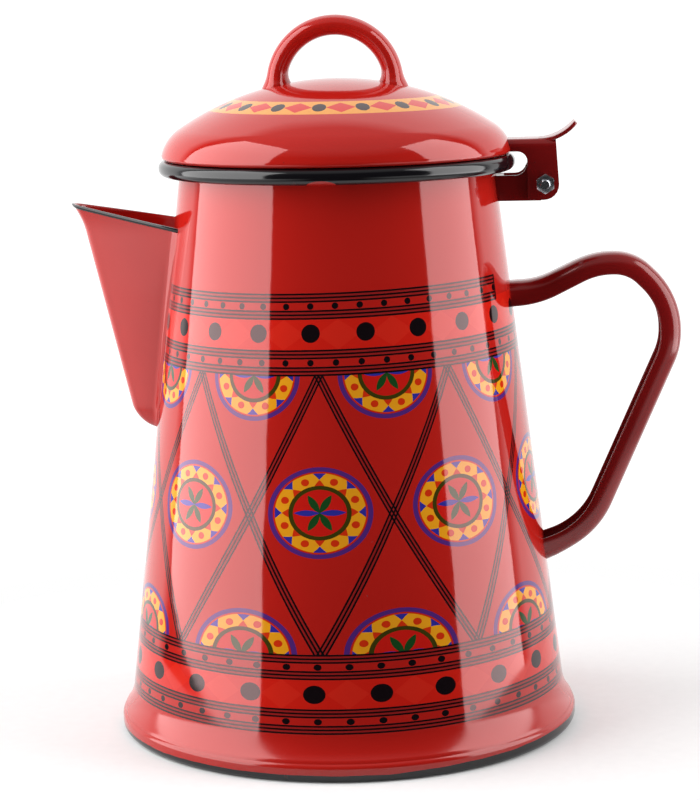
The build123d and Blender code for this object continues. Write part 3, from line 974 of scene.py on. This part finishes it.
def bolt_hole():
    """Tool that drills the hole for the bolt."""
    corners, faces = upright_rod(HOLE_RADIUS, -LEAF_WIDE, LEAF_WIDE)
    return made_of("bore", [(x + PIVOT, z, y + PIVOT_HEIGHT) for x, y, z in corners], faces)


joined(leaf, bolt_hole(), "DIFFERENCE")
eased_edges(leaf)
leaf.data.materials.append(maroon)
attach(leaf, "lid")
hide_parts("hinge_leaf")

# The bracket. A folded piece welded to the wall under the rim, with a back and two sides. The
# sides are cut away round the rolled rim and hold the bolt.
BRACKET_WIDE, BRACKET_BACK, BRACKET_START, BRACKET_TOE = 13.0, 1.6, 49.5, 1.4
BRACKET_LOW, BRACKET_TOP, BRACKET_EYE = 171.1, 184.8, 4.2
NOTCH_OUT, NOTCH_LOW, NOTCH_ROUND = 60.9, 179.2, 3.6
CUT_LOW, CUT_HIGH, CUT_OUT = 160, 190, 80


def oblong(near, far, low, high):
    """Outline with four square corners."""
    return [(near, low), (near, high), (far, high), (far, low)]


bracket_side = softened(
    [(BRACKET_START, BRACKET_LOW), (BRACKET_START, NOTCH_LOW), (NOTCH_OUT, NOTCH_LOW),
     (NOTCH_OUT, BRACKET_TOP), (PIVOT, BRACKET_TOP)], [0, 0, NOTCH_ROUND, NOTCH_ROUND, 0])
bracket_side += arc(PIVOT, PIVOT_HEIGHT, BRACKET_EYE, 0, pi, 24)
bracket_side.append((PIVOT - BRACKET_TOE, BRACKET_LOW))
bracket = plate("bracket", bracket_side, -BRACKET_WIDE / 2, BRACKET_WIDE / 2)
room = BRACKET_WIDE / 2 - LEAF_SHEET
between = oblong(wall_radius(BRACKET_LOW) + BRACKET_BACK, CUT_OUT, CUT_LOW, CUT_HIGH)
joined(bracket, plate("room", between, -room, room), "DIFFERENCE")
block = [(CLOSE, CUT_LOW), (wall_radius(CUT_LOW) - SINK, CUT_LOW), (NECK_RADIUS - SINK, CONE_TOP),
         (NECK_RADIUS - SINK, CUT_HIGH), (CLOSE, CUT_HIGH)]
joined(bracket, turned("wall block", block, BLOCK_STEPS), "DIFFERENCE")
joined(bracket, bolt_hole(), "DIFFERENCE")
eased_edges(bracket)
bracket.data.materials.append(maroon)
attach(bracket, "pot")
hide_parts("hinge_bracket")

# The bolt and its nut. Plain bright steel, never enamelled: the bolt goes in from the far side, and
# its threaded end stands out of the nut on the near side.
BOLT_RADIUS, HEAD_RADIUS, HEAD_HEIGHT, HEAD_ROUND = 1.5, 2.8, 2.0, 1.2
SLOT_HALF, SLOT_DEEP, SLOT_REACH = 0.4, 0.8, 5.0
THREAD_END, THREAD_PITCH, THREAD_DEPTH = 3.0, 0.5, 0.27
THREAD_STEPS, THREAD_LEVELS = 48, 140
NUT_ACROSS, NUT_HEIGHT, NUT_ROUND, NUT_BEVEL, NUT_BORE = 5.5, 2.4, 3.3, 0.3, 1.53


def along_bolt(name, section, steps=64):
    """Piece turned about the bolt from (radius, distance towards the near side) points."""
    rows = [[(PIVOT + r * cos(turn), -d, PIVOT_HEIGHT + r * sin(turn)) for r, d in section]
            for turn in circle(steps)]
    return made_of(name, *net(rows))


def bright_steel():
    """Zinc-bright steel with fine turning marks and a few dull spots."""
    finish = Finish("bright steel")
    marks = grain(finish.tree, finish.place, 0.0006, 6.0)
    dull = grain(finish.tree, finish.place, 0.003, 3.0).ramp(0.5, 0.7)
    shade = painted(finish.tree, colour(196, 198, 204), colour(120, 116, 112), dull * 0.6)
    finish.feed("Base Color", shade)
    finish.shader.inputs["Metallic"].default_value = 1.0
    finish.feed("Roughness", marks * 0.18 + 0.16 + dull * 0.2)
    finish.bump(marks, 0.00004)
    return finish.material


steel = bright_steel()
shank_end = side + NUT_HEIGHT + THREAD_END


def thread_place(i, j):
    """Place on the thread, by its step round the bolt and its step along it."""
    turn = 2 * pi * i / THREAD_STEPS
    d = side - 0.6 + (shank_end - side) * j / THREAD_LEVELS
    phase = (d / THREAD_PITCH - i / THREAD_STEPS) % 1.0
    radius = BOLT_RADIUS - THREAD_DEPTH + THREAD_DEPTH * abs(2 * phase - 1)
    return PIVOT + radius * cos(turn), -d, PIVOT_HEIGHT + radius * sin(turn)


rows = [[thread_place(i, j) for i in range(THREAD_STEPS)] for j in range(THREAD_LEVELS + 1)]
thread = bar("thread", rows)
head = softened([(CLOSE, -side - HEAD_HEIGHT), (HEAD_RADIUS, -side - HEAD_HEIGHT),
                 (HEAD_RADIUS, -side), (BOLT_RADIUS, -side), (BOLT_RADIUS, side - 0.3),
                 (CLOSE, side - 0.3)], [0, HEAD_ROUND, 0.2, 0, 0, 0])
bolt = along_bolt("bolt", head)
slot = oblong(PIVOT - SLOT_REACH, PIVOT + SLOT_REACH,
              PIVOT_HEIGHT - SLOT_HALF, PIVOT_HEIGHT + SLOT_HALF)
head_end = side + HEAD_HEIGHT
joined(bolt, plate("slot", slot, head_end - SLOT_DEEP, head_end + 1), "DIFFERENCE")
joined(bolt, thread, "UNION")
bolt.data.materials.append(steel)
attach(bolt, "lid")
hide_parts("hinge_bolt")

corner = NUT_ACROSS / sqrt(3)
turns = [pi * (2 * i + 1) / 6 for i in range(6)]
hexagon = [(PIVOT + corner * cos(turn), PIVOT_HEIGHT + corner * sin(turn)) for turn in turns]
nut = plate("nut", hexagon, -side - NUT_HEIGHT, -side)
low, high = side - 0.01, side + NUT_HEIGHT + 0.01
rounded = [(CLOSE, low), (NUT_ACROSS / 2, low), (NUT_ROUND, side + NUT_BEVEL),
           (NUT_ROUND, side + NUT_HEIGHT - NUT_BEVEL), (NUT_ACROSS / 2, high), (CLOSE, high)]
joined(nut, along_bolt("turned corners", rounded), "INTERSECT")
joined(nut, along_bolt("bore", oblong(CLOSE, NUT_BORE, side - 1, side + 4)), "DIFFERENCE")
nut.data.materials.append(steel)
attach(nut, "lid")
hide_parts("hinge_nut")

# The studio: a pale floor that fades to white, a room that is white behind the pot and dark behind
# the camera, and two tall soft lights at the sides.
FLOOR_EDGE, FLOOR_DROP = 240.0, 0.05
disc = [(FLOOR_EDGE * cos(turn), FLOOR_EDGE * sin(turn), -FLOOR_DROP) for turn in circle(96)]
floor = made_of("floor", disc, [tuple(range(len(disc)))])
paper = Finish("pale paper")
tree = paper.tree
x, y, z = paper.axes()
fade = x.long(y).ramp(70.0, 215.0)
fibre = grain(tree, paper.place, 0.004, 4.0)
rays = tree.nodes.new("ShaderNodeLightPath")
seen = Measure(tree, rays.outputs["Is Camera Ray"]) | Measure(tree, rays.outputs["Is Glossy Ray"])
seen = seen | Measure(tree, rays.outputs["Is Transmission Ray"])
white = painted(tree, colour(238, 238, 238), colour(246, 246, 246), fibre)
paper.feed("Base Color", painted(tree, colour(138, 138, 138), white, seen))
paper.shader.inputs["Roughness"].default_value = 0.9
paper.shader.inputs["Specular IOR Level"].default_value = 0.1
glow = tree.nodes.new("ShaderNodeEmission")
blend = tree.nodes.new("ShaderNodeMixShader")
tree.links.new((fade & seen).socket, blend.inputs[0])
tree.links.new(paper.shader.outputs[0], blend.inputs[1])
tree.links.new(glow.outputs[0], blend.inputs[2])
out = next(node for node in tree.nodes if node.type == "OUTPUT_MATERIAL")
tree.links.new(blend.outputs[0], out.inputs["Surface"])
floor.data.materials.append(paper.material)

world = bpy.data.worlds.new("studio")
bpy.context.scene.world = world
world.use_nodes = True
sky = world.node_tree
back = sky.nodes["Background"]
where = sky.nodes.new("ShaderNodeTexCoord")
across, away, upward = three_ways(sky, where.outputs["Generated"])
behind = away.ramp(0.38, 0.52)
overhead = upward.ramp(0.6, 0.86)
depth = upward * -1.0
below = depth.ramp(0.19, 0.24)
leftward = (across * -1.0).ramp(0.2, 0.7)
rightward = across.ramp(0.3, 0.6)
table = below & (leftward * 2.2 + rightward * 1.2) & (depth.ramp(0.2, 0.5) * -0.6 + 1.0)
rays = sky.nodes.new("ShaderNodeLightPath")
direct, mirrored, through = [Measure(sky, rays.outputs[f"Is {kind} Ray"])
                             for kind in ("Camera", "Glossy", "Transmission")]
seen = direct | through | (mirrored & behind)
level = (behind * 1.2 + 0.03) | (overhead * 0.4) | table | seen
sky.links.new(level.socket, back.inputs["Strength"])
back.inputs["Color"].default_value = (1, 1, 1, 1)

CAMERA_SIDE = radians(4.0)


def soft_light(name, turn, distance, wide, tall, middle, power):
    """Tall softbox, at an angle round the pot from the camera, that faces the pot."""
    lamp = bpy.data.lights.new(name, "AREA")
    lamp.shape = "RECTANGLE"
    lamp.size, lamp.size_y = wide, tall
    lamp.energy = power
    light = bpy.data.objects.new(name, lamp)
    bpy.context.scene.collection.objects.link(light)
    way = CAMERA_SIDE + radians(turn)
    light.location = (distance * sin(way), -distance * cos(way), middle)
    aim = Vector((0, 0, middle)) - light.location
    light.rotation_euler = aim.to_track_quat("-Z", "Y").to_euler()
    light.visible_camera = False


soft_light("left softbox", -80.5, 1.1, 1.51, 2.29, 1.055, 44.0)
soft_light("right softbox", 83, 1.1, 0.93, 2.1, 0.75, 23.3)

DISTANCE, EYE = 823.0, 243.2
FOCAL = 2550.0
PICTURE_WIDE, AXIS_COLUMN, SENSOR_WIDE = 700, 342.16, 36.0
PITCH, ROLL = radians(9.45), radians(1.28)
YAW = atan((PICTURE_WIDE / 2 - AXIS_COLUMN) / FOCAL)
ahead = Vector((-sin(CAMERA_SIDE), cos(CAMERA_SIDE), 0))
right = Vector((cos(CAMERA_SIDE), sin(CAMERA_SIDE), 0))
up = Vector((0, 0, 1))
forward = ahead * cos(YAW) + right * sin(YAW)
right = right * cos(YAW) - ahead * sin(YAW)
look = forward * cos(PITCH) - up * sin(PITCH)
up = up * cos(PITCH) + forward * sin(PITCH)
right, up = right * cos(ROLL) - up * sin(ROLL), up * cos(ROLL) + right * sin(ROLL)
lens = bpy.data.cameras.new("camera")
lens.sensor_fit = "HORIZONTAL"
lens.sensor_width = SENSOR_WIDE
lens.lens = FOCAL * SENSOR_WIDE / PICTURE_WIDE
lens.clip_start, lens.clip_end = 0.01, 100.0
camera = bpy.data.objects.new("camera", lens)
bpy.context.scene.collection.objects.link(camera)
stand = Matrix((right, up, -look)).transposed().to_4x4()
stand.translation = Vector((DISTANCE * sin(CAMERA_SIDE), -DISTANCE * cos(CAMERA_SIDE), EYE)) * MM
camera.matrix_world = stand
bpy.context.scene.camera = camera
bpy.context.scene.view_settings.view_transform = "Standard"
